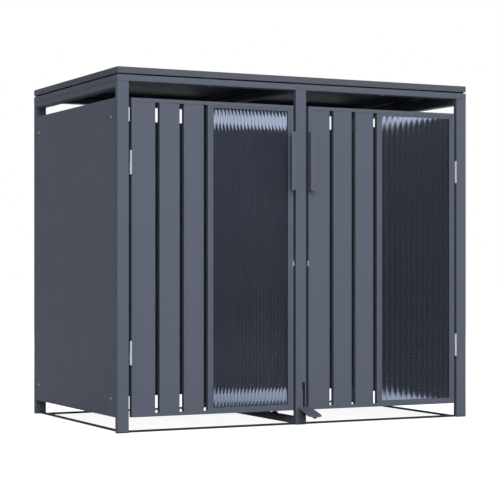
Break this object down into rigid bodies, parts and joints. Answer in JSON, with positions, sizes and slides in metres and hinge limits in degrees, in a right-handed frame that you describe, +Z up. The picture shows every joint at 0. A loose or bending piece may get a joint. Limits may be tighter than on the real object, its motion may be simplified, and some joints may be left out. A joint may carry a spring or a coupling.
{
  "type": "wheelie bin store",
  "caption": "Box-shaped steel store for wheeled bins: tube frame, flat roof cap, sheet panels, outward doors with slats and glazing, and a foot-pedal latch.",
  "frame": {"origin": "on the ground, under the middle of the bounding box (the pedal counts, so the cabinet itself sits 52.5 mm towards +Y)", "axes": "+X to the right seen from the doors, +Y from the doors to the back, +Z up"},
  "size_m": [1.354, 0.929, 1.19],
  "materials": {
    "anthracite_paint": "fine-texture matt powder coat, anthracite grey",
    "zinc_plate": "bright zinc plate",
    "screw_steel": "plain stainless",
    "spring_steel": "drawn wire",
    "polycarbonate": "clear fluted polycarbonate with a blue-grey tint",
    "black_plastic": "moulded, fine grain",
    "black_rubber": "matt"
  },
  "bodies": {
    "frame": {"anchor_caps": "black_plastic", "back_left_base_bar": "anthracite_paint", "back_left_panel": "anthracite_paint", "back_left_post": "anthracite_paint", "back_middle_post": "anthracite_paint", "back_right_base_bar": "anthracite_paint", "back_right_panel": "anthracite_paint", "back_right_post": "anthracite_paint", "back_roof_rail": "anthracite_paint", "front_left_base_bar": "anthracite_paint", "front_left_post": "anthracite_paint", "front_middle_post": "anthracite_paint", "front_right_base_bar": "anthracite_paint", "front_right_post": "anthracite_paint", "front_roof_rail": "anthracite_paint", "hinge_pins": "zinc_plate", "hinge_post_halves": "zinc_plate", "latch_guides": "black_plastic", "left_base_bar": "anthracite_paint", "left_roof_rail": "anthracite_paint", "left_side_panel": "anthracite_paint", "left_top_rail": "anthracite_paint", "middle_base_rail": "anthracite_paint", "middle_roof_rail": "anthracite_paint", "panel_brackets": "anthracite_paint", "panel_screws": "screw_steel", "post_feet": "black_plastic", "return_spring": "spring_steel", "right_base_bar": "anthracite_paint", "right_roof_rail": "anthracite_paint", "right_side_panel": "anthracite_paint", "right_top_rail": "anthracite_paint", "roof_cap": "anthracite_paint", "roof_inner_frame": "anthracite_paint", "roof_pads": "black_rubber", "roof_screws": "screw_steel"},
    "left_door": {"left_door_frame": "anthracite_paint", "left_door_mullion": "anthracite_paint", "left_door_slat_1": "anthracite_paint", "left_door_slat_2": "anthracite_paint", "left_door_slat_3": "anthracite_paint", "left_glazing_frame": "anthracite_paint", "left_handle": "anthracite_paint", "left_hinge_door_halves": "zinc_plate", "left_latch_keeper": "zinc_plate", "left_polycarbonate_panel": "polycarbonate"},
    "right_door": {"right_door_frame": "anthracite_paint", "right_door_mullion": "anthracite_paint", "right_door_slat_1": "anthracite_paint", "right_door_slat_2": "anthracite_paint", "right_door_slat_3": "anthracite_paint", "right_glazing_frame": "anthracite_paint", "right_handle": "anthracite_paint", "right_hinge_door_halves": "zinc_plate", "right_latch_keeper": "zinc_plate", "right_polycarbonate_panel": "polycarbonate"},
    "latch": {"latch_pedal": "anthracite_paint", "pedal_stop": "black_rubber", "latch_rod": "zinc_plate", "latch_pin": "zinc_plate"}
  },
  "joints": [
    {"name": "left_door_hinge", "type": "hinge", "parent": "frame", "child": "left_door", "pos_m": [-0.629, -0.3595, 0.57], "axis": [0, 0, -1], "range_deg": [0, 170]},
    {"name": "right_door_hinge", "type": "hinge", "parent": "frame", "child": "right_door", "pos_m": [0.629, -0.3595, 0.57], "axis": [0, 0, 1], "range_deg": [0, 170]},
    {"name": "pedal_press", "type": "slide", "parent": "frame", "child": "latch", "axis": [0, 0, -1], "range_m": [0, 0.012], "stiffness_N_per_m": 600, "springref_m": -0.025, "deforming": ["return_spring"]}
  ]
}
